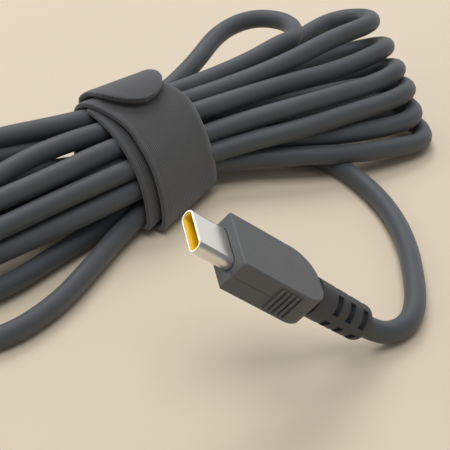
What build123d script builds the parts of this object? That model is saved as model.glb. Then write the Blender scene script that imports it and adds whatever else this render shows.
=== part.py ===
from build123d import *
import math
import os

# Charging cable with a USB-C plug on each end, folded into a hank and tied with a
# hook-and-loop strap.  Millimetres, +Z up, the table is the plane Z = 0.
# X runs along the hank.  The strap is at the hank's middle, at (STRAP_X, STRAP_Y).

# ---------------------------------------------------------------- driving dimensions
CORD_D = 3.7                      # outer diameter of the round cord
STRAP_X, STRAP_Y = 8.12, 10.91    # middle of the strap, from the origin

# plug, in its own frame: origin at the middle of the housing's front face,
# +Z towards the tip, X across the broad face, Y through the thickness
SHELL_W, SHELL_T, SHELL_WALL = 8.25, 2.40, 0.25
SHELL_OUT = 6.65                  # how far the metal shell stands out
SHELL_IN = 3.6                    # how far it goes into the housing
MOUTH_W, MOUTH_T = 7.0, 1.2       # opening in the insulator
INSULATOR_FRONT, INSULATOR_REAR = 6.5, -2.4
LEAD_IN = 0.35                    # depth of the chamfer round the mouth
CONTACTS, CONTACT_PITCH = 12, 0.5
CONTACT_W, CONTACT_T = 0.25, 0.15
CONTACT_TAIL, CONTACT_TIP = -4.5, 3.0
BUMP_Z, BUMP_R = 2.2, 0.14        # rounded touching point of a contact
LATCH_X, LATCH_T, LATCH_H = 3.155, 0.15, 0.7
LATCH_ROOT, LATCH_TIP, HOOK_R = -1.2, 5.2, 0.17
SPRING_W, SPRING_T = 5.4, 0.1     # shield spring plates and their fingers
SPRING_PLATE, SPRING_FINGERS = (3.3, 3.6), (3.6, 4.6)
FINGER_W, FINGERS_X = 1.2, (-2.1, 0.0, 2.1)
HOUSING_W, HOUSING_T, HOUSING_L = 11.4, 5.76, 17.65
SHOULDER_R = 4.9                  # rear corners, seen from above
HOUSING_WALL = 0.8
NECK_R = 2.6                      # bore that holds the strain relief's root
PARTING_DEPTH, PARTING_H = 0.05, 0.06
RIBS, RIB_PITCH, RIB_W, RIB_L, RIB_H = 5, 0.98, 0.5, 4.4, 0.3
FIRST_RIB = -8.4
RELIEF_R0, RELIEF_R1, RELIEF_L = 3.18, 2.98, 11.65
SLOTS_Z = (-21.6, -24.4, -27.3)   # slot rings along the strain relief
SLOT_W, SLOT_DEPTH, SLOT_ANGLE = 1.2, 0.9, 64.0
RELIEF_END = -HOUSING_L - RELIEF_L
RELIEF_ROOT = -13.6               # front of the strain relief, inside the housing
CABLE_TOP = -14.0                 # where the cord's jacket stops inside the plug
FERRULE, FERRULE_WALL = (-17.2, -14.2), 0.4
CAVITY = (-13.5, -1.0)            # room inside the two covers
CAVITY_W, CAVITY_T = HOUSING_W - 2 * HOUSING_WALL, HOUSING_T - 2 * HOUSING_WALL
CARD_T = 0.9                      # circuit board that carries the contacts
TONGUE_W, CARD_W = 6.4, 8.4
CARD_FRONT, CARD_STEP, CARD_REAR = -1.5, -4.0, -11.0
CHIP_W, CHIP_T, CHIP_Z, CHIP_EDGE = 3.0, 0.7, (-8.8, -5.8), 0.12
CAPACITOR, CAPACITOR_Z, CAPACITORS_X = 0.5, (-8.0, -7.0), (-3.0, -1.0, 1.0, 3.0)
CAN_W, CAN_T, CAN_WALL, CAN_Z = 9.0, 3.4, 0.2, (-12.2, -2.8)
MOULD_REAR = -13.4
WIRE_D, WIRE_TIP = 0.7, -9.4
WIRES_X, WIRE_Y = (-1.1, 0.0, 1.1), 0.8
FIT = 0.1                         # gap between the shell and the housing's front

# where the plugs lie: point of the front face's middle from the strap, heading of the
# tip in plan from +X, how far the nose points up, and roll about the plug's own axis
PLUG_A = dict(front=(-25.5, -52.15, 24.25), heading=161.6, nose_up=39.8, roll=167.0)
PLUG_B = dict(front=(-24.45, 27.95, 2.90), heading=-18.0, nose_up=-1.0, roll=180.0)

# strap: superellipse-like section, front left to front right edge
STRAP_HALF = 8.2
STRAP_THICK = 2.4                 # two layers
TAB_THICK = 1.15
TAB_GAP, TAB_INSET = 0.06, 0.4
STRAP_LEFT = dict(yc=1.3, zc=9.9, a=13.4, b=9.9, lean=0.30)
STRAP_RIGHT = dict(yc=2.2, zc=10.2, a=11.6, b=9.2, lean=0.30)
TAB_TIP_Y, TAB_ROOT_Y = -0.6, 11.5

# hank: outer shape at stations along X, from the strap's middle
HANK_LEFT = (
    (-63.0, dict(yc=-3.0, zc=6.0, a=7.0, b=3.5, lean=0.2)),
    (-57.0, dict(yc=-1.0, zc=7.5, a=12.5, b=7.5, lean=0.3)),
    (-40.0, dict(yc=1.5, zc=9.1, a=14.5, b=9.1, lean=0.3)),
    (-22.0, dict(yc=1.5, zc=9.2, a=13.0, b=9.2, lean=0.3)),
)
HANK_RIGHT = (
    (22.0, dict(yc=-0.5, zc=9.7, a=14.0, b=9.7, lean=0.45)),
    (40.0, dict(yc=-0.5, zc=9.9, a=16.5, b=9.9, lean=0.55)),
    (53.0, dict(yc=2.0, zc=10.0, a=14.0, b=9.2, lean=0.60)),
    (61.0, dict(yc=6.0, zc=13.5, a=6.5, b=5.0, lean=0.60)),
)
# loose turns, seen from above: a long low one at the front left, a short one at the back
LOW_LOOP = (
    (-12, -8), (-16, -11), (-26, -18.5), (-38, -24), (-49, -24.5), (-58, -19), (-62, -9), (-50, 0),
)
SHORT_LOOP = ((10, 4), (30, 2), (41, 6), (46.5, 13.5), (42, 21), (33, 23), (22, 20), (10, 14))
SHORT_LOOP_Z = 13.0

# the cord's free stretches, from the strap's middle: each first point is the plug's exit
LEAD_A = (
    (-4.140, -59.256, 5.495), (-1.953, -59.983, 3.575), (1.20, -60.90, 2.15), (5.60, -60.50, 1.87),
    (10.60, -57.20, 1.86), (16.20, -51.20, 1.86), (22.60, -43.20, 1.86), (28.00, -33.60, 1.86),
    (31.20, -22.60, 1.86), (31.40, -12.00, 1.86),
)
LEAD_B = (
    (-52.311, 37.003, 3.411), (-59.310, 39.277, 3.539), (-67.20, 38.20, 2.60), (-73.60, 32.60, 1.90),
    (-76.00, 24.20, 1.86), (-73.00, 16.20, 1.86), (-65.60, 11.60, 2.00), (-56.60, 10.60, 3.20),
    (-47.60, 11.20, 5.20),
)

AWAY = (STRAP_X, STRAP_Y, 0)
SECTION_POINTS = 16
ROUNDNESS = 2.2                   # superellipse exponent of the strap's and hank's sections


# ---------------------------------------------------------------- small helpers
def stadium(width, thick, z0, z1):
    """Bar with fully rounded ends, across X, from z0 to z1."""
    return extrude(Plane.XY.offset(z0) * SlotOverall(width, thick), amount=z1 - z0)


def block(width, thick, z0, z1, x=0.0, y=0.0):
    return Pos(x, y, (z0 + z1) / 2) * Box(width, thick, z1 - z0)


def rod(radius, z0, z1, x=0.0, y=0.0):
    return Pos(x, y, (z0 + z1) / 2) * Cylinder(radius, z1 - z0)


def rounded_block(width, thick, z0, z1, radius):
    """Block whose four long edges are rounded."""
    return fillet(block(width, thick, z0, z1).edges().filter_by(Axis.Z), radius)


def group(shapes):
    """Several separate solids that share a node."""
    return Compound(children=list(shapes))


def section(x, yc, zc, a, b, lean, grow=0.0):
    """Closed outline across X: a superellipse that leans back as it rises."""
    points = []
    for i in range(SECTION_POINTS):
        t = 2 * math.pi * i / SECTION_POINTS
        c, s = math.cos(t), math.sin(t)
        y = (a + grow) * math.copysign(abs(c) ** (2 / ROUNDNESS), c)
        z = (b + grow) * math.copysign(abs(s) ** (2 / ROUNDNESS), s)
        points.append((x, yc + y + lean * z, zc + z))
    return Wire.make_polygon([Vector(*p) for p in points], close=True)


def hull_loft(stations, grow=0.0):
    return Solid.make_loft([section(x, grow=grow, **shape) for x, shape in stations], ruled=True)


def turn_radii(points):
    """Largest tangent arc at each inner point: 0.45 of the shorter run."""
    radii = []
    for a, b, c in zip(points, points[1:], points[2:]):
        before, after = Vector(*b) - Vector(*a), Vector(*c) - Vector(*b)
        half = math.radians(before.get_angle(after)) / 2
        radii.append(0.45 * min(before.length, after.length) / math.tan(half))
    return radii


def tube(name, points):
    """Round cord along straight runs joined by tangent arcs."""
    radii = turn_radii(points)
    path = FilletPolyline(*points, radius=radii)
    start = Plane(origin=points[0], z_dir=Vector(*points[1]) - Vector(*points[0]))
    solid = sweep(start * Circle(CORD_D / 2), path=path)
    ideal = math.pi * CORD_D ** 2 / 4 * path.length
    print(name, "radii", [round(r, 1) for r in radii], "length", round(path.length, 1))
    print(name, "volume", round(solid.volume, 1), "of", round(ideal, 1))
    return solid


def plug_location(front, heading, nose_up, roll):
    h, p, r = (math.radians(v) for v in (heading, nose_up, roll))
    tip = Vector(math.cos(p) * math.cos(h), math.cos(p) * math.sin(h), math.sin(p))
    level = tip.cross(Vector(0, 0, 1)).normalized()
    across = level * math.cos(r) + tip.cross(level) * math.sin(r)
    return Plane(origin=front, x_dir=across, z_dir=tip).location


# ---------------------------------------------------------------- plug: metal and contacts
def make_shell():
    """Seamless metal shell with a flange behind the housing's front wall."""
    outer = stadium(SHELL_W, SHELL_T, -SHELL_IN, SHELL_OUT)
    outer = fillet(outer.faces().sort_by(Axis.Z)[-1].edges(), 0.09)
    flange = rounded_block(CAN_W - 2 * CAN_WALL, CAN_T - 2 * CAN_WALL, -SHELL_IN, -SHELL_IN + 0.4, 0.25)
    bore = stadium(SHELL_W - 2 * SHELL_WALL, SHELL_T - 2 * SHELL_WALL, -SHELL_IN - 1, SHELL_OUT + 1)
    return outer + flange - bore


def make_insulator():
    """Coloured liner of the mouth; its opening goes right through."""
    body = stadium(SHELL_W - 2 * SHELL_WALL, SHELL_T - 2 * SHELL_WALL, INSULATOR_REAR, INSULATOR_FRONT)
    mouth = rounded_block(MOUTH_W, MOUTH_T, INSULATOR_REAR - 1, INSULATOR_FRONT + 1, 0.3)
    lead_in = loft([
        Plane.XY.offset(INSULATOR_FRONT - LEAD_IN) * Rectangle(MOUTH_W - 0.6, MOUTH_T),
        Plane.XY.offset(INSULATOR_FRONT + 0.01) * Rectangle(MOUTH_W - 0.2, MOUTH_T + 0.3)])
    return body - mouth - lead_in


def make_contacts(side):
    """Row of twelve leaf contacts on one wall of the mouth, with tails on the card."""
    strips = []
    for i in range(CONTACTS):
        x = (i - (CONTACTS - 1) / 2) * CONTACT_PITCH
        y = side * (MOUTH_T - CONTACT_T) / 2
        leaf = block(CONTACT_W, CONTACT_T, CONTACT_TAIL, CONTACT_TIP, x=x, y=y)
        bump = Pos(x, side * (MOUTH_T / 2 - CONTACT_T), BUMP_Z) * Rot(0, 90, 0)
        strips.append(leaf + bump * Cylinder(BUMP_R, CONTACT_W))
    return group(strips)


def make_latch(side):
    """Side spring that hooks the socket; it bends out about its root."""
    leaf = block(LATCH_T, LATCH_H, LATCH_ROOT, LATCH_TIP, x=side * LATCH_X)
    hook = Pos(side * (LATCH_X - 0.05), 0, LATCH_TIP - 0.5) * Rot(90, 0, 0)
    return leaf + hook * Cylinder(HOOK_R, LATCH_H)


def make_shield_springs():
    """Two thin plates with three fingers each, just inside the mouth."""
    plates = []
    for side in (1, -1):
        y = side * (MOUTH_T - SPRING_T) / 2
        plate = block(SPRING_W, SPRING_T, *SPRING_PLATE, y=y)
        for x in FINGERS_X:
            plate += block(FINGER_W, SPRING_T, *SPRING_FINGERS, x=x, y=y)
        plates.append(plate)
    return group(plates)


def make_card():
    """Circuit board: a narrow tongue between the contacts and a wide rear half."""
    tongue = block(TONGUE_W, CARD_T, CARD_STEP, CARD_FRONT)
    return tongue + block(CARD_W, CARD_T, CARD_REAR, CARD_STEP)


def make_chip():
    body = block(CHIP_W, CHIP_T, *CHIP_Z, y=(CARD_T + CHIP_T) / 2)
    return chamfer(body.faces().sort_by(Axis.Y)[-1].edges(), CHIP_EDGE)


def make_capacitors():
    y = -(CARD_T + CAPACITOR) / 2
    return group(block(CAPACITOR, CAPACITOR, *CAPACITOR_Z, x=x, y=y) for x in CAPACITORS_X)


def wire_places():
    return [(x, y) for x in WIRES_X for y in (WIRE_Y, -WIRE_Y)]


def make_wires():
    return group(rod(WIRE_D / 2, CABLE_TOP, WIRE_TIP, x=x, y=y) for x, y in wire_places())


def make_can():
    """Folded metal box round the card."""
    z0, z1 = CAN_Z
    inner = rounded_block(CAN_W - 2 * CAN_WALL, CAN_T - 2 * CAN_WALL, z0 - 1, z1 + 1, 0.2)
    return rounded_block(CAN_W, CAN_T, z0, z1, 0.4) - inner


def make_inner_mould():
    """Soft first moulding that fills the room between the can and the housing."""
    body = rounded_block(CAVITY_W, CAVITY_T, MOULD_REAR, CAN_Z[1], 0.5)
    body -= rounded_block(CAN_W, CAN_T, CAN_Z[0], CAN_Z[1] + 1, 0.4)
    for x, y in wire_places():
        body -= rod(WIRE_D / 2, MOULD_REAR - 1, CAN_Z[0] + 0.2, x=x, y=y)
    return body


# ---------------------------------------------------------------- plug: housing and cord end
def housing_outline(inset=0.0):
    """Plan of the housing: square front, rear corners rounded with a large radius."""
    w, length, r = HOUSING_W - 2 * inset, HOUSING_L - inset, SHOULDER_R - inset
    corners = ((-w / 2, -inset), (w / 2, -inset), (w / 2, -length), (-w / 2, -length))
    sheet = make_face(Polyline(*corners, close=True))
    return fillet(sheet.vertices().group_by(Axis.Y)[0], r)


def make_housing_half(side):
    """Upper or lower cover, with grip ribs on the narrow sides and a fine parting groove."""
    slab = extrude(Plane.XZ * housing_outline(), amount=HOUSING_T / 2 * -side)
    slab = fillet(slab.faces().sort_by(Axis.Y)[-1 if side > 0 else 0].edges(), 0.35)
    rims = slab.edges().filter_by(Axis.Y)
    slab = fillet(rims.filter_by(lambda e: abs(e.center().Z) < 0.1), 0.3)
    for sx in (1, -1):
        for i in range(RIBS):
            place = Pos(sx * (HOUSING_W / 2 - RIB_H), side * RIB_L / 4, FIRST_RIB - i * RIB_PITCH)
            slab += place * Box(4 * RIB_H, RIB_L / 2, RIB_W)
    rim = housing_outline() - housing_outline(PARTING_DEPTH)
    slab -= extrude(Plane.XZ * rim, amount=PARTING_H * -side)
    slab -= rounded_block(CAVITY_W, CAVITY_T, *CAVITY, 0.5)
    slab -= stadium(SHELL_W + 2 * FIT, SHELL_T + 2 * FIT, CAVITY[1] - 0.1, 1)
    return slab - rod(NECK_R, -HOUSING_L - 1, CAVITY[0] + 0.1)


def pie_slice(angle):
    """Slice from 0 to the angle, larger than the sleeve."""
    point_at_axis = (Align.NONE, Align.NONE, Align.CENTER)
    return Cylinder(RELIEF_R0 + 2, 3 * SLOT_W, arc_size=angle, align=point_at_axis)


def make_relief():
    """Tapered sleeve with three rings of four slots, a root in the housing and a round end."""
    taper = Pos(0, 0, (RELIEF_END - HOUSING_L) / 2) * Cone(RELIEF_R1, RELIEF_R0, RELIEF_L)
    taper = fillet(taper.edges().sort_by(Axis.Z)[0], 0.9)
    ring = Cylinder(RELIEF_R0 + 1, SLOT_W) - Cylinder(RELIEF_R0 - SLOT_DEPTH, SLOT_W)
    for z in SLOTS_Z:
        for quarter in range(4):
            wedge = Rot(0, 0, 45 + 90 * quarter - SLOT_ANGLE / 2) * pie_slice(SLOT_ANGLE)
            taper -= Pos(0, 0, z) * (ring & wedge)
    sleeve = taper + rod(NECK_R, -HOUSING_L, RELIEF_ROOT)
    sleeve -= rod(CORD_D / 2, RELIEF_END - 1, FERRULE[0])
    return sleeve - rod(CORD_D / 2 + FERRULE_WALL, FERRULE[0], RELIEF_ROOT + 1)


def make_ferrule():
    bore = rod(CORD_D / 2, FERRULE[0] - 1, FERRULE[1] + 1)
    return rod(CORD_D / 2 + FERRULE_WALL, *FERRULE) - bore


def make_cable_end():
    """Last stretch of the cord, inside the strain relief."""
    return rod(CORD_D / 2, RELIEF_END, CABLE_TOP)


def plug_parts():
    return {
        "shell": make_shell(), "insulator": make_insulator(),
        "upper_contacts": make_contacts(1), "lower_contacts": make_contacts(-1),
        "latch_left": make_latch(-1), "latch_right": make_latch(1),
        "shield_springs": make_shield_springs(), "circuit_card": make_card(),
        "marker_chip": make_chip(), "capacitors": make_capacitors(), "wire_ends": make_wires(),
        "shield_can": make_can(), "inner_mould": make_inner_mould(),
        "upper_cover": make_housing_half(1), "lower_cover": make_housing_half(-1),
        "strain_relief": make_relief(), "crimp_ferrule": make_ferrule(),
        "cable_end": make_cable_end(),
    }


# ---------------------------------------------------------------- strap and hank
def strap_stations():
    return ((-STRAP_HALF, STRAP_LEFT), (STRAP_HALF, STRAP_RIGHT))


def make_strap_band():
    """Two layers of strap round the hank, as one ring."""
    return hull_loft(strap_stations()) - hull_loft(strap_stations(), grow=-STRAP_THICK)


def make_strap_tab():
    """Free end of the strap: a round-ended flap on top, hinged at the back."""
    under = hull_loft(strap_stations(), grow=TAB_GAP)
    layer = hull_loft(strap_stations(), grow=TAB_GAP + TAB_THICK) - under
    r = STRAP_HALF - TAB_INSET
    shoulder = TAB_TIP_Y + r
    sides = Polyline((-r, shoulder), (-r, TAB_ROOT_Y), (r, TAB_ROOT_Y), (r, shoulder))
    outline = make_face(sides + ThreePointArc((-r, shoulder), (0, TAB_TIP_Y), (r, shoulder)))
    return layer & extrude(Plane.XY.offset(10) * outline, amount=20)


def make_hank():
    """Outer shape of all the turns: wide ends, a waist inside the strap, and the loose loops."""
    waist = []
    for x, shape in strap_stations():
        thinner = dict(a=shape["a"] - STRAP_THICK, b=shape["b"] - STRAP_THICK)
        waist.append((x, shape | thinner))
    body = hull_loft(list(HANK_LEFT) + waist + list(HANK_RIGHT))
    low_face = make_face(Polyline(*LOW_LOOP, close=True))
    short_face = Plane.XY.offset(SHORT_LOOP_Z) * make_face(Polyline(*SHORT_LOOP, close=True))
    loops = extrude(low_face, amount=CORD_D), extrude(short_face, amount=CORD_D)
    band = make_strap_band()
    return body + (loops[0] - band) + (loops[1] - band)


# ---------------------------------------------------------------- write the parts
parts = {}
for plug_name, place in (("plug_a", PLUG_A), ("plug_b", PLUG_B)):
    where = plug_location(**place)
    for part_name, shape in plug_parts().items():
        parts[f"{plug_name}_{part_name}"] = shape.moved(where)
parts["cord_lead_a"] = tube("lead a", LEAD_A)
parts["cord_lead_b"] = tube("lead b", LEAD_B)
parts["cord_hank"] = make_hank()
parts["strap_band"] = make_strap_band()
parts["strap_tab"] = make_strap_tab()

os.makedirs("parts", exist_ok=True)
boxes = []
for node, shape in parts.items():
    placed = shape.moved(Location(AWAY))
    boxes.append(placed.bounding_box())
    export_step(placed, f"parts/{node}.step")
low = [min(getattr(b.min, k) for b in boxes) for k in "XYZ"]
high = [max(getattr(b.max, k) for b in boxes) for k in "XYZ"]
print("box", [round(v, 3) for v in low], [round(v, 3) for v in high])
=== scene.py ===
"""Charging cable: a folded hank of round cord with a USB-C plug on each end and a hook-and-loop tie.

The CAD model holds the plugs.  This file lays the cord's turns, sews the tie, and gives every piece its
material, its light and its camera.
"""
import math

import bpy
import numpy as np
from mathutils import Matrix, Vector


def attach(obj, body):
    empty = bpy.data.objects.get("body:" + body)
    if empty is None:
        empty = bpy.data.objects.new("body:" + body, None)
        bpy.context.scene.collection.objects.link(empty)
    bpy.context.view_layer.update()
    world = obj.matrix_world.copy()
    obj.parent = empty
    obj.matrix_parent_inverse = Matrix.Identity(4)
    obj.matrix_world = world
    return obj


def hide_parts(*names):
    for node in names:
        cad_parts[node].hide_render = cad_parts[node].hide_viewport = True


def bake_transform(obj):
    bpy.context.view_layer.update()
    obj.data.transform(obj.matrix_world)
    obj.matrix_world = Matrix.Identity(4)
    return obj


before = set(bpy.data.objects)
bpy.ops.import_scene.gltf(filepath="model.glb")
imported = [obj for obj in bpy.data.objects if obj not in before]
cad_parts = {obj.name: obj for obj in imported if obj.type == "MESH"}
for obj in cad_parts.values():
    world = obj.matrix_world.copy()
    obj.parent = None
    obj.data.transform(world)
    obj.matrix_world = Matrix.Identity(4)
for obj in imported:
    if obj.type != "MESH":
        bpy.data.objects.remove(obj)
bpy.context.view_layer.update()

bl_info = {
    "name": "Charging cable maker",
    "version": (1, 0, 0),
    "blender": (4, 5, 0),
    "location": "3D view, sidebar, Cable",
    "description": "Lays a tied charging cable round its modelled plugs",
    "category": "Object",
}

MM = 0.001
PLUGS = ("plug_a", "plug_b")
TIE_X, TIE_Y = 8.12, 10.91        # the tie's middle, in millimetres from the model's origin


# ---------------------------------------------------------------- settings
class CordSettings(bpy.types.PropertyGroup):
    """Sizes and colours of the round cord."""
    diameter: bpy.props.FloatProperty(
        name="Diameter", description="Outer diameter of the jacket", default=3.7 * MM, unit="LENGTH")
    length: bpy.props.FloatProperty(
        name="Length", description="Strain relief to strain relief", default=2.0, unit="LENGTH")
    colour: bpy.props.StringProperty(name="Colour", description="Jacket, sRGB hex", default="#4B4F53")


class TieSettings(bpy.types.PropertyGroup):
    """Sizes and colours of the hook-and-loop tie."""
    layer: bpy.props.FloatProperty(
        name="Layer", description="Thickness of one layer of tape", default=1.1 * MM, unit="LENGTH")
    colour: bpy.props.StringProperty(name="Colour", description="Loop side, sRGB hex", default="#333335")
    hem_colour: bpy.props.StringProperty(
        name="Hem colour", description="Bound edge, sRGB hex", default="#404042")


class PlugSettings(bpy.types.PropertyGroup):
    """Colours of the plugs' visible pieces."""
    cover: bpy.props.StringProperty(name="Cover", description="Moulded housing, sRGB hex", default="#595B5D")
    relief: bpy.props.StringProperty(
        name="Strain relief", description="Soft sleeve, sRGB hex", default="#3E4043")
    liner: bpy.props.StringProperty(
        name="Liner", description="Insulator in the mouth, sRGB hex", default="#FFD028")


class StageSettings(bpy.types.PropertyGroup):
    """Floor and light."""
    floor: bpy.props.StringProperty(name="Floor", description="Plain floor, sRGB hex", default="#DFD0B8")
    key: bpy.props.FloatProperty(
        name="Light", description="Power that each light has a share of", default=3.4, unit="POWER")


# ---------------------------------------------------------------- colour, nodes and meshes
def linear(hex_colour):
    """sRGB hex to linear RGBA: the standard transfer curve for each channel."""
    values = [int(hex_colour[i:i + 2], 16) / 255 for i in (1, 3, 5)]
    return tuple(v / 12.92 if v <= 0.04045 else ((v + 0.055) / 1.055) ** 2.4 for v in values) + (1.0,)


def shade(colour, share):
    """The same linear colour, darker or lighter."""
    return tuple(share * c for c in colour[:3]) + (1.0,)


MIX_A, MIX_B, MIX_OUT = 6, 7, 2   # the colour sockets of a Mix node


def add(tree, kind, inputs=None, **settings):
    """One node.  Inputs go by a socket's name or number, each with a value or another node's output, and
    settings by the name of a socket or an attribute."""
    node = tree.nodes.new(kind)
    for key, value in settings.items():
        name = key.replace("_", " ")
        if name in node.inputs:
            node.inputs[name].default_value = value
        else:
            setattr(node, key, value)
    for key, value in (inputs or {}).items():
        if isinstance(value, bpy.types.NodeSocket):
            tree.links.new(value, node.inputs[key])
        else:
            node.inputs[key].default_value = value
    return node


def new_material(name):
    """Empty node material with a Principled shader already on its output."""
    material = bpy.data.materials.new(name)
    material.use_nodes = True
    tree = material.node_tree
    return material, tree, tree.nodes["Principled BSDF"]


def shader(tree, bsdf, **values):
    """Plain numbers and colours go straight on the shader's own sockets, and outputs are linked to them."""
    for key, value in values.items():
        socket = bsdf.inputs[key.replace("_", " ")]
        if isinstance(value, bpy.types.NodeSocket):
            tree.links.new(value, socket)
        else:
            socket.default_value = value


def mesh_object(name, verts, faces, material):
    """New smooth-shaded object at the origin from whole arrays of vertices (metres) and faces."""
    mesh = bpy.data.meshes.new(name)
    mesh.from_pydata(np.asarray(verts).tolist(), [], faces)
    mesh.polygons.foreach_set("use_smooth", [True] * len(mesh.polygons))
    mesh.materials.append(material)
    mesh.validate()
    mesh.update()
    obj = bpy.data.objects.new(name, mesh)
    bpy.context.scene.collection.objects.link(obj)
    return obj


def finish_node(node, material):
    """Gives a CAD node its material."""
    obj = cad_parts[node]
    obj.data.materials.clear()
    obj.data.materials.append(material)


# ---------------------------------------------------------------- camera
CAMERA_AT = (-130.0 + TIE_X, -186.0 + TIE_Y, 134.52)
CAMERA_HEADING, CAMERA_DOWN = -38.0, 32.0
CAMERA_LENS = 112.0


def make_camera():
    """Camera at the height and angle of a hand-held close-up, with no shift and no blur."""
    data = bpy.data.cameras.new("camera")
    data.lens, data.sensor_width = CAMERA_LENS, 36.0
    data.clip_start, data.clip_end = 0.01, 10.0
    camera = bpy.data.objects.new("camera", data)
    bpy.context.scene.collection.objects.link(camera)
    a, e = math.radians(CAMERA_HEADING), math.radians(CAMERA_DOWN)
    camera.location = Vector(CAMERA_AT) * MM
    back = Vector((math.sin(a) * math.cos(e), -math.cos(a) * math.cos(e), math.sin(e)))
    camera.rotation_mode = "QUATERNION"
    camera.rotation_quaternion = (-back).to_track_quat("-Z", "Y")
    bpy.context.scene.camera = camera


# ---------------------------------------------------------------- the tie's section
# Outer surface of the tie at its left and right edge, (y, z) from the tie's middle: from the top,
# down the front, along the table and up the back.
LEFT_X, RIGHT_X = -8.6, 8.2
LEFT_EDGE = (
    (6.0, 20.0), (1.0, 19.4), (-3.3, 18.0), (-6.6, 16.1), (-9.4, 13.9), (-11.4, 11.2), (-12.8, 7.9),
    (-13.6, 3.8), (-12.8, 0.4), (-8.0, 0.0), (0.0, 0.0), (7.0, 0.2), (11.3, 2.0), (13.4, 6.5),
    (13.8, 11.5), (12.6, 16.2), (10.0, 19.0),
)
RIGHT_EDGE = (
    (9.3, 18.7), (5.2, 18.2), (2.0, 17.1), (-0.6, 15.5), (-2.9, 13.2), (-4.7, 10.4), (-6.1, 7.6),
    (-6.9, 4.6), (-6.6, 2.0), (-4.0, 0.8), (2.0, 0.6), (8.0, 0.8), (12.4, 2.4), (14.6, 6.5),
    (15.2, 11.5), (14.4, 15.6), (12.6, 18.0),
)


def outline_at(turn, across):
    """Point of the tie's outer surface: a closed quadratic B-spline through the section, by its share of a
    turn, blended in a straight line from the left edge (across 0) to the right edge (across 1)."""
    left, right = np.array(LEFT_EDGE), np.array(RIGHT_EDGE)
    count = len(left)
    t = (np.asarray(turn, float) % 1.0) * count
    i = np.floor(t).astype(int)
    f = (t - i)[:, None]
    a, b, c = (1 - f) ** 2 / 2, 0.5 + f - f * f, f * f / 2
    across = np.asarray(across, float)[:, None]

    def pick(k):
        return left[k % count] * (1 - across) + right[k % count] * across

    return a * pick(i - 1) + b * pick(i) + c * pick(i + 1)


# ---------------------------------------------------------------- the cord's route
# The cord's free stretches, in millimetres from the tie's middle: each first point is a plug's exit.
LEAD_A = (
    (-4.140, -59.256, 5.495), (-1.953, -59.983, 3.575), (1.20, -60.90, 2.15), (5.60, -60.50, 1.87),
    (10.40, -57.20, 1.86), (15.80, -51.20, 1.86), (22.00, -43.20, 1.86), (27.30, -33.60, 1.86),
    (30.50, -22.60, 1.86), (31.00, -12.00, 1.86),
)
LEAD_B = (
    (-52.311, 37.003, 3.411), (-59.310, 39.277, 3.539), (-67.20, 38.20, 2.60), (-73.60, 32.60, 1.90),
    (-76.00, 24.20, 1.86), (-73.00, 16.20, 1.86), (-65.60, 11.60, 2.00), (-56.60, 10.60, 3.20),
    (-47.60, 11.20, 5.20),
)
# The first run through the tie, under everything else, from the right to the left.
FIRST_RUN = (
    (27.0, -3.0, 1.86), (17.5, 1.6, 2.0), (8.5, 3.8, 3.9), (-9.0, 0.0, 3.5), (-24.0, 3.0, 2.2),
    (-40.0, 4.0, 1.9), (-53.0, 1.0, 1.9), (-61.0, -6.0, 1.9), (-59.0, -18.0, 1.9),
)
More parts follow.
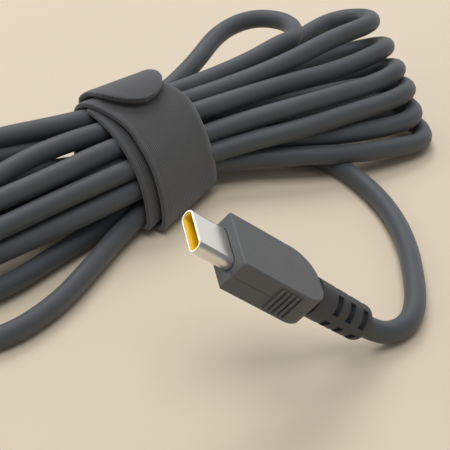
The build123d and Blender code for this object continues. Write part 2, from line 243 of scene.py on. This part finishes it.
# Each turn: the run along the front to the right, its right bend, the run back, and the left bend that
# leads into the next turn.  A bend is its far point, its radius and its tilt in degrees.
TURNS = (
    dict(front=((-48, -23, 1.9), (-36, -20.2, 1.9), (-25, -14.2, 1.9), (-16, -9.2, 2.2), (-6, -5.8, 3.6),
                (6, -1.4, 4.2), (15, -4.8, 4.4), (23, -10.5, 5), (33, -16.2, 4.6), (43, -18, 3.6)),
         right=(54, -10.8, 2.4, 7.2, 0),
         back=((41, -4.6, 3.2), (25, 0.5, 3.6), (8.5, 7.6, 3.9), (-9, 3.8, 3.6), (-24, 6, 3.6),
               (-42, 8, 3.6)),
         left=(-63, -1, 3, 9, 0)),
    dict(front=((-43, -11.8, 1.9), (-28, -8, 1.9), (-18, -6, 2.3), (-8, -3.5, 4.2), (6, 0.9, 7.2),
                (18, -5, 7.2), (30, -12, 6.6), (42, -15.2, 5.8)),
         right=(53.4, -8, 4.6, 7.5, -8),
         back=((40, -2, 5.6), (24, 4.5, 5.6), (8.5, 11.2, 4.4), (-9, 7.6, 3.9), (-24, 9, 4), (-42, 10, 4)),
         left=(-65, 1, 5.5, 9, 0)),
    dict(front=((-44, -9, 6), (-28, -8.8, 6.5), (-17, -9, 7.2), (-7, -8.2, 7.4), (6, -4.2, 6),
                (16, -8.2, 7.8), (25, -12.6, 9.4), (35, -13.8, 9.6), (45, -13.6, 8.8)),
         right=(55, -6.4, 6.8, 7.5, -18),
         back=((42, 0.5, 5.8), (26, 2, 6.8), (8.5, 5.7, 7.3), (-9, 1, 7.2), (-24, 4, 7.5), (-42, 6, 7.5)),
         left=(-66.5, 1.5, 8.5, 9, 0)),
    dict(front=((-42, -8.6, 10.1), (-26, -7.4, 10.8), (-16, -7.2, 11.4), (-7, -6.4, 11.2), (6, -1.8, 9.6),
                (17, -5.4, 11.6), (25, -9.2, 13.2), (35, -10.2, 13), (46, -9.8, 12)),
         right=(55.6, -2.6, 9.8, 7.5, -24),
         back=((43, 4, 7.4), (26, 7, 8), (8.5, 9.5, 7.4), (-9, 4.8, 7.2), (-24, 8, 8.6), (-42, 10, 10)),
         left=(-64, 3, 11, 8.5, -10)),
    dict(front=((-40, -4.6, 13.2), (-26, -4.6, 14.1), (-16, -3.6, 14.6), (-7, -2.5, 14.2), (6, 1.3, 13.4),
                (18, -2.2, 15.2), (29, -3.4, 15.4), (42, -4.3, 14.8)),
         right=(58.2, 2.9, 12.6, 7.5, -24),
         back=((44, 9.5, 9.8), (26, 8.5, 10.8), (8.5, 8.2, 11), (-9, 6, 12.4), (-24, 9, 13.2),
               (-42, 9.8, 13.6)),
         left=(-62, 5.4, 14, 8, -8)),
    dict(front=((-41, -1.6, 14.7), (-26, 2.6, 15.4), (-16, 3, 15.8), (-7, 2.2, 16), (6, 5.4, 14.8),
                (20, 2.8, 16.3), (32, 1.3, 18), (44.2, 2.6, 19)),
         right=(57.8, 8.8, 17.4, 6.5, -16),
         back=((45, 13.6, 15), (28, 8.5, 13), (8.5, 4.4, 10.4), (-9, -3, 10.6), (-24, 0, 10.8),
               (-42, 2, 11)),
         left=(-60, 8, 13.5, 8, -160)),
    dict(front=((-41, 13.6, 15.6), (-27, 11, 16), (-18, 9, 16.2), (-7, 7.6, 16.1), (6, 9.2, 15),
                (17.8, 7.9, 16), (27, 7.6, 16.8), (34.5, 9.2, 17)),
         right=(43.2, 17, 16.5, 7, 0),
         back=((30.5, 23.4, 16.4), (18.6, 16, 15.6), (8.5, 13, 13.2), (-9, 10.6, 12.6), (-24, 12, 10))),
)
FRONT_GIVE = 0.35                 # how far the visible runs give way, against 1 for the hidden ones


def bend(x, y, z, radius, tilt, side):
    """Control points of a half turn: three corners of a hexagon round a circle whose far point is at x, on
    the right (side 1) or the left (side -1), tilted about X."""
    angle = side * np.radians([-60, 0, 60])
    reach = radius / math.cos(math.radians(30))
    rise = math.radians(tilt)
    return np.stack([x - side * radius + side * reach * np.cos(angle),
                     y + reach * np.sin(angle) * math.cos(rise),
                     z + reach * np.sin(angle) * math.sin(rise)], 1)


def route():
    """The cord's control points from plug A to plug B, and how freely each may settle."""
    points, give = list(LEAD_A) + list(FIRST_RUN), [0.0] * len(LEAD_A) + [1.0] * len(FIRST_RUN)
    for turn in TURNS:
        runs = [(turn["front"], FRONT_GIVE), (bend(*turn["right"], 1), 1.0), (turn["back"], 1.0)]
        if "left" in turn:
            runs.append((bend(*turn["left"], -1), 1.0))
        for run, freedom in runs:
            points += list(run)
            give += [freedom] * len(run)
    points += LEAD_B[::-1]
    give += [0.0] * len(LEAD_B)
    return np.array(points, float), np.array(give)


def spline_weights(count, samples):
    """Weight of each control point at each sample of a clamped quadratic B-spline, by its recurrence."""
    degree = 2
    knots = np.concatenate([np.zeros(degree), np.linspace(0, 1, count - degree + 1), np.ones(degree)])
    u = np.linspace(0, 1 - 1e-9, samples)[:, None]
    weights = ((u >= knots[:-1]) & (u < knots[1:])).astype(float)
    for d in range(1, degree + 1):
        m = len(knots) - 1 - d
        rise = np.maximum(knots[d:d + m] - knots[:m], 1e-12)
        fall = np.maximum(knots[d + 1:d + 1 + m] - knots[1:1 + m], 1e-12)
        weights = (u - knots[:m]) / rise * weights[:, :m] + (knots[d + 1:] - u) / fall * weights[:, 1:m + 1]
    return weights


OUTLINE_STEPS = 72                # corners that stand for the tie's outline


def cinch(samples, margin):
    """How far each sample inside the tie has to move so that it lies inside the tie's inner surface: along
    the outline's normal, by its depth short of the margin."""
    push = np.zeros_like(samples)
    inside = np.nonzero((samples[:, 0] > LEFT_X) & (samples[:, 0] < RIGHT_X))[0]
    across = (samples[inside, 0] - LEFT_X) / (RIGHT_X - LEFT_X)
    steps = np.linspace(0, 1, OUTLINE_STEPS, endpoint=False)
    for k, s in zip(inside, across):
        ring = outline_at(steps, np.full(len(steps), s))
        edge = np.roll(ring, -1, 0) - ring
        normal = np.stack([-edge[:, 1], edge[:, 0]], 1)
        normal /= np.linalg.norm(normal, axis=1)[:, None]
        if np.mean(np.sum((ring - ring.mean(0)) * normal, 1)) < 0:
            normal = -normal
        depth = np.sum((samples[k, 1:] - ring) * normal, 1) + margin
        worst = depth.argmax()
        if depth[worst] > 0:
            push[k, 1:] -= normal[worst] * depth[worst]
    return push


SETTLE_ROUNDS, SETTLE_SAMPLES = 110, 1300
SETTLE_GAP = 0.99                 # least distance between two runs, in diameters
SETTLE_STEP = 1.6                 # how much of each push is taken at once
SAME_RUN = 4                      # samples nearer than this along the cord, in diameters, don't push
SMOOTHINGS = 2                    # passes that spread each round's moves along the cord
TABLE_GAP = 0.01


def settle(points, give, diameter, margin):
    """Presses the hank's turns apart until they lie beside each other: each pair of samples nearer than a
    diameter pushes half the overlap each way, the table and the tie push back, and the push is shared out
    to the control points by their weights."""
    weights = spline_weights(len(points), SETTLE_SAMPLES)
    total = np.maximum(weights.sum(0), 1e-9)[:, None]
    start = points.copy()
    samples = weights @ points
    along = np.concatenate([[0], np.cumsum(np.linalg.norm(np.diff(samples, axis=0), axis=1))])
    far = np.triu(np.abs(along[:, None] - along) > SAME_RUN * diameter, 1)
    for _ in range(SETTLE_ROUNDS):
        samples = weights @ points
        square = np.sum(samples ** 2, 1)
        gap2 = square[:, None] + square - 2 * samples @ samples.T
        i, j = np.nonzero((gap2 < (SETTLE_GAP * diameter) ** 2) & far)
        apart = np.sqrt(np.maximum(gap2[i, j], 1e-6))
        push = (samples[i] - samples[j]) / apart[:, None] * (SETTLE_GAP * diameter - apart)[:, None] / 2
        force, count = np.zeros_like(samples), np.zeros(len(samples))
        for ends, sign in ((i, 1), (j, -1)):
            np.add.at(force, ends, sign * push)
            np.add.at(count, ends, 1)
        force /= np.maximum(count, 1)[:, None]
        force[:, 2] -= np.minimum(samples[:, 2] + force[:, 2] - diameter / 2 - TABLE_GAP, 0)
        force += cinch(samples + force, margin)
        moved = points + weights.T @ force / total * SETTLE_STEP * give[:, None] - start
        for _ in range(SMOOTHINGS):
            moved[1:-1] = 0.5 * moved[1:-1] + 0.25 * (moved[:-2] + moved[2:])
        points = start + np.where(give[:, None] > 0, moved, 0)
    return points


# ---------------------------------------------------------------- materials
def jacket_material(colour):
    """Cord jacket: thermoplastic elastomer, extruded.  Dark grey and matt, with a broad soft sheen, faint
    mottling from handling and a surface grain of about 0.15 mm."""
    material, tree, bsdf = new_material("elastomer_jacket_extruded")
    place = add(tree, "ShaderNodeTexCoord").outputs["Object"]
    mottle = add(tree, "ShaderNodeTexNoise", {"Vector": place}, Scale=140.0, Detail=3.0).outputs["Fac"]
    grain = add(tree, "ShaderNodeTexNoise", {"Vector": place}, Scale=6500.0, Detail=2.0).outputs["Fac"]
    base = linear(colour)
    tone = add(tree, "ShaderNodeMix", {"Factor": mottle, MIX_A: shade(base, 0.78), MIX_B: base},
               data_type="RGBA")
    rough = add(tree, "ShaderNodeMapRange", {"Value": mottle}, To_Min=0.50, To_Max=0.62)
    bump = add(tree, "ShaderNodeBump", {"Height": grain}, Strength=0.25, Distance=0.00004)
    shader(tree, bsdf, Base_Color=tone.outputs[MIX_OUT], Roughness=rough.outputs["Result"],
           Normal=bump.outputs["Normal"], IOR=1.48, Sheen_Weight=0.12, Sheen_Roughness=0.5)
    return material


def cover_material(colour):
    """Plug cover: ABS and polycarbonate, injection moulded in a spark-eroded tool.  Even dark grey with a
    sandy grain of about 0.24 mm, drawn coarse enough to show, whose tops catch the light."""
    material, tree, bsdf = new_material("abs_cover_spark_eroded")
    place = add(tree, "ShaderNodeTexCoord").outputs["Object"]
    pits = add(tree, "ShaderNodeTexNoise", {"Vector": place},
               Scale=4200.0, Detail=3.0, Roughness=0.7).outputs["Fac"]
    cloud = add(tree, "ShaderNodeTexNoise", {"Vector": place}, Scale=160.0, Detail=2.0).outputs["Fac"]
    base = linear(colour)
    tone = add(tree, "ShaderNodeMix", {"Factor": cloud, MIX_A: shade(base, 0.86), MIX_B: base},
               data_type="RGBA")
    rough = add(tree, "ShaderNodeMapRange", {"Value": pits},
                From_Min=0.3, From_Max=0.7, To_Min=0.42, To_Max=0.66)
    bump = add(tree, "ShaderNodeBump", {"Height": pits}, Strength=0.5, Distance=0.00006)
    shader(tree, bsdf, Base_Color=tone.outputs[MIX_OUT], Roughness=rough.outputs["Result"],
           Normal=bump.outputs["Normal"], IOR=1.53)
    return material


def relief_material(colour):
    """Strain relief: soft PVC over-moulding.  Dark grey, smoother and a little duller than the cover."""
    material, tree, bsdf = new_material("pvc_strain_relief_moulded")
    place = add(tree, "ShaderNodeTexCoord").outputs["Object"]
    grain = add(tree, "ShaderNodeTexNoise", {"Vector": place}, Scale=3000.0, Detail=2.0).outputs["Fac"]
    cloud = add(tree, "ShaderNodeTexNoise", {"Vector": place}, Scale=220.0, Detail=2.0).outputs["Fac"]
    base = linear(colour)
    tone = add(tree, "ShaderNodeMix", {"Factor": cloud, MIX_A: shade(base, 0.85), MIX_B: base},
               data_type="RGBA")
    bump = add(tree, "ShaderNodeBump", {"Height": grain}, Strength=0.25, Distance=0.00004)
    shader(tree, bsdf, Base_Color=tone.outputs[MIX_OUT], Normal=bump.outputs["Normal"],
           Roughness=0.55, IOR=1.53)
    return material


def shell_material():
    """Plug shell: deep-drawn stainless steel, nickel plated.  Bright, with a satin haze from tumbling whose
    marks are about 0.1 mm."""
    material, tree, bsdf = new_material("steel_shell_nickel_plated")
    place = add(tree, "ShaderNodeTexCoord").outputs["Object"]
    marks = add(tree, "ShaderNodeTexNoise", {"Vector": place}, Scale=8000.0, Detail=2.0).outputs["Fac"]
    haze = add(tree, "ShaderNodeTexNoise", {"Vector": place}, Scale=350.0, Detail=3.0).outputs["Fac"]
    rough = add(tree, "ShaderNodeMapRange", {"Value": haze}, To_Min=0.24, To_Max=0.33)
    bump = add(tree, "ShaderNodeBump", {"Height": marks}, Strength=0.06, Distance=0.00001)
    shader(tree, bsdf, Roughness=rough.outputs["Result"], Normal=bump.outputs["Normal"],
           Base_Color=linear("#E6E3DD"), Metallic=1.0)
    return material


def plain_material(name, colour, roughness, metallic=0.0):
    """Small inner pieces: an even colour with a slight grain in its tone and its surface."""
    material, tree, bsdf = new_material(name)
    place = add(tree, "ShaderNodeTexCoord").outputs["Object"]
    grain = add(tree, "ShaderNodeTexNoise", {"Vector": place}, Scale=1500.0, Detail=2.0).outputs["Fac"]
    base = linear(colour)
    tone = add(tree, "ShaderNodeMix", {"Factor": grain, MIX_A: shade(base, 0.88), MIX_B: base},
               data_type="RGBA")
    bump = add(tree, "ShaderNodeBump", {"Height": grain}, Strength=0.15, Distance=0.00002)
    shader(tree, bsdf, Base_Color=tone.outputs[MIX_OUT], Normal=bump.outputs["Normal"],
           Roughness=roughness, Metallic=metallic)
    return material


WEAVE_PITCH = 0.42                # thread spacing, drawn coarser than a likely 0.3 mm so that it shows
CROSS_THREAD = 0.06               # height of the threads across the tape, against the ribs along it
HEM_WIDTH, HEM_FADE = 1.3, 0.4


def tape_material(colour, hem_colour, half_width):
    """Hook-and-loop tape: woven nylon with a napped loop face.  Matt charcoal, fine ribs along it, a fuzzy
    tone, and a denser, paler bound hem along each edge.  Reads the tape's own UV map: u is millimetres
    along it and v millimetres from its middle."""
    material, tree, bsdf = new_material("nylon_tape_woven")
    uv = add(tree, "ShaderNodeUVMap", uv_map="tape").outputs["UV"]
    split = add(tree, "ShaderNodeSeparateXYZ", {"Vector": uv})
    along, across = split.outputs["X"], split.outputs["Y"]
    nap = add(tree, "ShaderNodeTexNoise", {"Vector": uv},
              Scale=1.6, Detail=6.0, Roughness=0.75).outputs["Fac"]
    waves = []
    for place in (along, across):
        angle = add(tree, "ShaderNodeMath", {0: place, 1: 2 * math.pi / WEAVE_PITCH}, operation="MULTIPLY")
        waves.append(add(tree, "ShaderNodeMath", {0: angle.outputs[0]}, operation="SINE").outputs[0])
    weave = add(tree, "ShaderNodeMath", {0: waves[0], 1: CROSS_THREAD, 2: waves[1]},
                operation="MULTIPLY_ADD")
    edge = add(tree, "ShaderNodeMath", {0: across}, operation="ABSOLUTE")
    inner = half_width - HEM_WIDTH
    hem = add(tree, "ShaderNodeMapRange", {"Value": edge.outputs[0]},
              From_Min=inner, From_Max=inner + HEM_FADE, To_Min=0.0, To_Max=1.0)
    base = linear(colour)
    tone = add(tree, "ShaderNodeMix", {"Factor": nap, MIX_A: shade(base, 0.70), MIX_B: shade(base, 1.25)},
               data_type="RGBA")
    both = add(tree, "ShaderNodeMix",
               {"Factor": hem.outputs["Result"], MIX_A: tone.outputs[MIX_OUT], MIX_B: linear(hem_colour)},
               data_type="RGBA")
    height = add(tree, "ShaderNodeMath", {0: weave.outputs[0], 1: nap}, operation="ADD")
    bump = add(tree, "ShaderNodeBump", {"Height": height.outputs[0]}, Strength=0.22, Distance=0.00012)
    shader(tree, bsdf, Base_Color=both.outputs[MIX_OUT], Normal=bump.outputs["Normal"], Roughness=0.92,
           IOR=1.5, Specular_IOR_Level=0.3, Sheen_Weight=0.35, Sheen_Roughness=0.6)
    return material


# ---------------------------------------------------------------- the tie
TAPE_HALF_WIDTH = (RIGHT_X - LEFT_X) / 2
BAND_START, BAND_END = 0.02, 1.875    # in turns from the top, down the front first
BAND_STATIONS = 300
INNER_DEPTH = 1.5                 # how deep the first turn's middle lies, in layers
CLIMB = (0.85, 1.05)              # the stretch, in turns, over which the tape climbs on to its own start
INNER_SKEW = 2.6                  # how far the first turn sits to the left
SKEW_BACK = (0.98, 1.16)          # the stretch, in turns, over which it comes back
EDGE_ROLL, EDGE_FROM = 0.12, 0.78     # how much thicker the bound edge is, and its start across the tape
FLAT_POWER, ROUND_POWER = 1.6, 0.35   # how flat the profile's faces are, and how round its edges
TAB_END = 2.112                   # where the free end's tip lies, in turns
TAB_RADIUS = 7.8                  # of its round end
TAB_SKEW = -0.9                   # how far it sits to the left
TAB_CLEAR = 0.12                  # its gap above the band
TAB_CURL = 0.9                    # how far its tip stands off
TAB_TIP_ANGLE = 7.0               # where the round end starts, in degrees from the tip
TAB_RISE = 0.07                   # share of a turn over which the tab climbs off the band's end
CURL_START = 0.1                  # share of a turn after which its tip starts to curl
TAB_STATIONS, TIP_STATIONS = 30, 34
LENGTH_SAMPLES = 400              # for the length along the tab


def smooth_step(x, low, high):
    """0 below low, 1 above high, and a cubic between."""
    t = np.clip((x - low) / (high - low), 0, 1)
    return t * t * (3 - 2 * t)


def tape_surface(turns, half, skew, lift, layer, profile_count=36):
    """Tape swept along the tie's spiral.  At each station the middle line is the outline at that share of a
    turn, moved out by one layer for each turn; the closed profile is a flat bar with round edges, across
    it from -half to +half of the width.  Returns vertices in metres and the tape's own coordinates."""
    middle = np.full(len(turns), 0.5)
    edges = [outline_at(turns, np.full(len(turns), s)) for s in (0.0, 1.0)]
    centre = outline_at(turns, middle)
    tangent = np.gradient(centre, axis=0)
    tangent /= np.linalg.norm(tangent, axis=1)[:, None]
    normal = np.stack([-tangent[:, 1], tangent[:, 0]], 1)
    inward = np.sum((centre - centre.mean(0)) * normal, 1).mean() < 0
    normal = -normal if inward else normal
    along = np.concatenate([[0], np.cumsum(np.linalg.norm(np.diff(centre, axis=0), axis=1))])
    angle = np.linspace(0, 2 * math.pi, profile_count, endpoint=False)
    flat, thick = np.cos(angle), np.sin(angle)
    across = np.sign(flat) * (1 - (1 - np.abs(flat)) ** FLAT_POWER)
    height = np.sign(thick) * np.abs(thick) ** ROUND_POWER * (1 + EDGE_ROLL * (np.abs(across) > EDGE_FROM))
    s = across[None, :] * (half / TAPE_HALF_WIDTH)[:, None]
    share = (s + 1) / 2
    y = edges[0][:, :1] * (1 - share) + edges[1][:, :1] * share
    z = edges[0][:, 1:] * (1 - share) + edges[1][:, 1:] * share
    out = lift[:, None] + height[None, :] * layer / 2
    x = (LEFT_X + RIGHT_X) / 2 + s * TAPE_HALF_WIDTH + skew[:, None]
    y = y + normal[:, :1] * out
    z = np.maximum(z + normal[:, 1:] * out, TABLE_GAP)
    verts = np.stack([x + TIE_X, y + TIE_Y, z], 2) * MM
    own = np.stack([np.broadcast_to(along[:, None], s.shape), s * TAPE_HALF_WIDTH], 2)
    return verts, own


def tab_stations():
    """Stations of the free end, half its width at each and its length.  Its outline is a half circle at the
    tip and then straight sides; near the tip the stations are spaced by the circle's angle."""
    fine = np.linspace(BAND_END, TAB_END, LENGTH_SAMPLES)
    centre = outline_at(fine, np.full(len(fine), 0.5))
    along = np.concatenate([[0], np.cumsum(np.linalg.norm(np.diff(centre, axis=0), axis=1))])
    root = along[-1]
    angle = np.radians(np.linspace(90, TAB_TIP_ANGLE, TIP_STATIONS))
    from_tip = np.concatenate([np.linspace(root, TAB_RADIUS, TAB_STATIONS, endpoint=False),
                               TAB_RADIUS * (1 - np.cos(angle))])
    inside = np.clip(TAB_RADIUS - from_tip, 0, TAB_RADIUS)
    half = np.sqrt(TAB_RADIUS ** 2 - inside ** 2)
    widen = smooth_step(from_tip, TAB_RADIUS, root)
    half = half + (TAPE_HALF_WIDTH - TAB_RADIUS) * widen
    return np.interp(root - from_tip, along, fine), half, root


def swept_object(name, verts, own, material):
    """Closed mesh from a grid of rings, with a fan at each end, and the tape's coordinates as a UV map."""
    rings, count = verts.shape[:2]
    index = np.arange(rings * count).reshape(rings, count)
    nxt = np.roll(index, -1, 1)
    quads = np.stack([index[:-1], nxt[:-1], nxt[1:], index[1:]], 2).reshape(-1, 4)
    caps = [index[0, ::-1].tolist(), index[-1].tolist()]
    obj = mesh_object(name, verts.reshape(-1, 3), quads.tolist() + caps, material)
    layer = obj.data.uv_layers.new(name="tape")
    loops = np.zeros(len(obj.data.loops), np.int32)
    obj.data.loops.foreach_get("vertex_index", loops)
    layer.data.foreach_set("uv", own.reshape(-1, 2)[loops].astype(np.float32).ravel())
    return obj


class CABLE_OT_camera(bpy.types.Operator):
    """Makes the camera."""
    bl_idname = "cable.camera"
    bl_label = "Camera"

    def execute(self, context):
        make_camera()
        return {"FINISHED"}


class CABLE_OT_cord(bpy.types.Operator):
    """Lays the cord from plug to plug as one smooth line, with its turns pressed together in the tie."""
    bl_idname = "cable.cord"
    bl_label = "Cord"

    def execute(self, context):
        settings, tie = context.scene.cable_cord, context.scene.cable_tie
        points, give = route()
        margin = (2 * tie.layer + settings.diameter / 2) / MM
        points = settle(points, give, settings.diameter / MM, margin)
        points = (points + (TIE_X, TIE_Y, 0)) * MM
        curve = bpy.data.curves.new("cord", "CURVE")
        curve.dimensions = "3D"
        spline = curve.splines.new("NURBS")
        spline.points.add(len(points) - 1)
        spline.points.foreach_set("co", np.column_stack([points, np.ones(len(points))]).ravel())
        spline.order_u = 3
        spline.use_endpoint_u = True
        spline.resolution_u = 10
        spline.use_smooth = True
        curve.bevel_depth, curve.bevel_resolution = settings.diameter / 2, 5
        curve.use_fill_caps = True
        curve.materials.append(jacket_material(settings.colour))
        cord = bpy.data.objects.new("cord", curve)
        context.scene.collection.objects.link(cord)
        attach(cord, "root")
        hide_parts("cord_lead_a", "cord_lead_b", "cord_hank")
        return {"FINISHED"}


class CABLE_OT_tie(bpy.types.Operator):
    """Wraps the hook-and-loop tie: two turns as a band, and its round free end as a tab on top."""
    bl_idname = "cable.tie"
    bl_label = "Hook-and-loop tie"

    def execute(self, context):
        settings = context.scene.cable_tie
        layer = settings.layer / MM
        turns = np.linspace(BAND_START, BAND_END, BAND_STATIONS)
        lift = -layer * INNER_DEPTH + layer * smooth_step(turns, *CLIMB)
        skew = -INNER_SKEW * (1 - smooth_step(turns, *SKEW_BACK))
        half = np.full(len(turns), TAPE_HALF_WIDTH)
        material = tape_material(settings.colour, settings.hem_colour, TAPE_HALF_WIDTH)
        verts, own = tape_surface(turns, half, skew, lift, layer)
        band = swept_object("tie_band", verts, own, material)
        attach(band, "root")
        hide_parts("strap_band")
        length = float(own[-1, 0, 0]) * MM
        turns, half, root = tab_stations()
        rise = smooth_step(turns, BAND_END, BAND_END + TAB_RISE)
        curl = smooth_step(turns, BAND_END + CURL_START, TAB_END)
        lift = layer * (rise - 0.5) + TAB_CLEAR * rise + TAB_CURL * curl
        verts, own = tape_surface(turns, half, TAB_SKEW * rise, lift, layer)
        own = own + (length / MM, 0)
        tab = swept_object("tie_tab", verts, own, material)
        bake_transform(tab)
        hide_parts("strap_tab")
        return {"FINISHED"}


class CABLE_OT_plugs(bpy.types.Operator):
    """Gives both plugs' pieces their materials."""
    bl_idname = "cable.plugs"
    bl_label = "Plugs"

    def execute(self, context):
        settings = context.scene.cable_plug
        cover = cover_material(settings.cover)
        relief = relief_material(settings.relief)
        liner = plain_material("lcp_insulator_moulded", settings.liner, 0.38)
        steel = plain_material("stainless_spring_stamped", "#B9B7B2", 0.3, metallic=1.0)
        gold = plain_material("copper_contact_gold_plated", "#E0B45A", 0.25, metallic=1.0)
        finishes = {
            "shell": shell_material(), "insulator": liner, "upper_contacts": gold, "lower_contacts": gold,
            "latch_left": steel, "latch_right": steel, "shield_springs": steel,
            "circuit_card": plain_material("epoxy_board_solder_resist", "#1F5A38", 0.4),
            "marker_chip": plain_material("epoxy_chip_moulded", "#232324", 0.55),
            "capacitors": plain_material("ceramic_capacitor_fired", "#8F7250", 0.5),
            "wire_ends": plain_material("pvc_wire_extruded", "#A32A22", 0.45),
            "shield_can": steel,
            "inner_mould": plain_material("polyamide_inner_mould", "#C9C7BE", 0.55),
            "upper_cover": cover, "lower_cover": cover, "strain_relief": relief,
            "crimp_ferrule": steel,
            "cable_end": jacket_material(context.scene.cable_cord.colour),
        }
        for plug in PLUGS:
            for part, material in finishes.items():
                finish_node(f"{plug}_{part}", material)
        return {"FINISHED"}


# name, place in metres (each points at the origin), side of its square in metres, share of the power
LIGHTS = (
    ("key_light", (0.18, 0.45, 0.62), 0.40, 0.70),
    ("top_bank", (-0.10, -0.15, 0.85), 0.60, 0.96),
    ("side_card", (0.62, 0.22, 0.30), 0.70, 0.30),
    ("rear_card", (-0.17, 0.62, 0.17), 0.34, 0.18),
    ("window_light", (-0.55, 0.10, 0.45), 0.40, 0.12),
    ("front_fill", (0.05, -0.70, 0.42), 0.60, 0.08),
)
WORLD_COLOUR, WORLD_STRENGTH = "#E6E9EE", 0.27
FLOOR_REACH = 1.5                 # from the middle of the floor to each side, in metres


class CABLE_OT_stage(bpy.types.Operator):
    """Makes the plain floor and the soft light."""
    bl_idname = "cable.stage"
    bl_label = "Stage"

    def execute(self, context):
        settings = context.scene.cable_stage
        material, tree, bsdf = new_material("painted_floor_matt")
        place = add(tree, "ShaderNodeTexCoord").outputs["Object"]
        cloud = add(tree, "ShaderNodeTexNoise", {"Vector": place}, Scale=3.0).outputs["Fac"]
        base = linear(settings.floor)
        tone = add(tree, "ShaderNodeMix", {"Factor": cloud, MIX_A: base, MIX_B: shade(base, 0.97)},
                   data_type="RGBA")
        shader(tree, bsdf, Base_Color=tone.outputs[MIX_OUT], Roughness=0.7)
        corners = FLOOR_REACH * np.array([(-1, -1, 0), (1, -1, 0), (1, 1, 0), (-1, 1, 0)])
        floor = mesh_object("floor", corners, [(0, 1, 2, 3)], material)
        for name, place_at, side, share in LIGHTS:
            data = bpy.data.lights.new(name, "AREA")
            data.shape, data.size, data.energy = "SQUARE", side, share * settings.key
            light = bpy.data.objects.new(name, data)
            context.scene.collection.objects.link(light)
            light.location = place_at
            light.rotation_mode = "QUATERNION"
            light.rotation_quaternion = (-Vector(place_at)).to_track_quat("-Z", "Y")
            light.visible_camera = False
        world = bpy.data.worlds.new("studio")
        world.use_nodes = True
        world.node_tree.nodes["Background"].inputs["Color"].default_value = linear(WORLD_COLOUR)
        world.node_tree.nodes["Background"].inputs["Strength"].default_value = WORLD_STRENGTH
        context.scene.world = world
        context.scene.view_settings.view_transform = "Standard"
        return {"FINISHED"}


class CABLE_PT_panel(bpy.types.Panel):
    """Sidebar panel with the maker's settings and steps."""
    bl_idname = "CABLE_PT_panel"
    bl_label = "Charging cable"
    bl_space_type = "VIEW_3D"
    bl_region_type = "UI"
    bl_category = "Cable"

    def draw(self, context):
        scene = context.scene
        for group in (scene.cable_cord, scene.cable_tie, scene.cable_plug, scene.cable_stage):
            box = self.layout.box()
            for name in group.bl_rna.properties.keys():
                if name not in ("rna_type", "name"):
                    box.prop(group, name)
        for operator in OPERATORS:
            self.layout.operator(operator.bl_idname)


SETTINGS = {"cable_cord": CordSettings, "cable_tie": TieSettings, "cable_plug": PlugSettings,
            "cable_stage": StageSettings}
OPERATORS = (CABLE_OT_camera, CABLE_OT_cord, CABLE_OT_tie, CABLE_OT_plugs, CABLE_OT_stage)


def register():
    """Registers every class and hangs the settings on the scene."""
    for cls in (*SETTINGS.values(), *OPERATORS, CABLE_PT_panel):
        bpy.utils.register_class(cls)
    for name, cls in SETTINGS.items():
        setattr(bpy.types.Scene, name, bpy.props.PointerProperty(type=cls))


def unregister():
    """Takes the settings and classes away again."""
    for name in SETTINGS:
        delattr(bpy.types.Scene, name)
    for cls in (CABLE_PT_panel, *reversed(OPERATORS), *SETTINGS.values()):
        bpy.utils.unregister_class(cls)


def main():
    """Runs every step in order."""
    register()
    for step in (bpy.ops.cable.camera, bpy.ops.cable.cord, bpy.ops.cable.tie, bpy.ops.cable.plugs,
                 bpy.ops.cable.stage):
        step()


if __name__ == "__main__":
    main()
